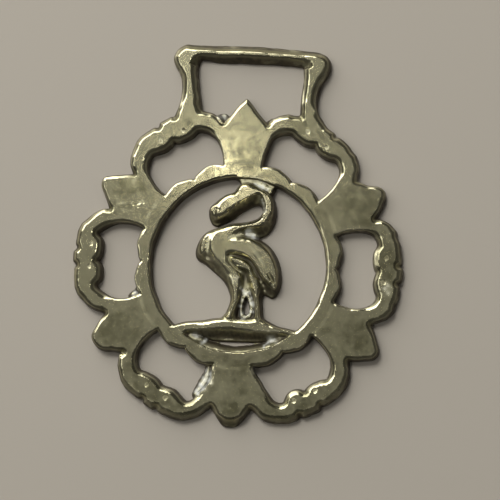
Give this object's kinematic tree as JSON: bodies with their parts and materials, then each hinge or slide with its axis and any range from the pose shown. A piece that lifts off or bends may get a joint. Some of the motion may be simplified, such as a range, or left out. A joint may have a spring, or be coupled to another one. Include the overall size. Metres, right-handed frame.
{
  "type": "horse brass",
  "caption": "Flat cast horse brass: an open lobed rim with a strap loop on top, and a long-necked wading bird standing on a low mound inside its ring.",
  "frame": {"origin": "centre of the round inner ring, on the flat back", "axes": "+Z out of the decorated face, +Y towards the strap loop, +X to the right as the face is seen"},
  "size_m": [0.0797, 0.0922, 0.0046],
  "materials": {
    "cast_brass": "worn satin polish, olive-grey with brown patina in the recesses"
  },
  "bodies": {
    "root": {"horse_brass": "cast_brass"}
  },
  "joints": []
}
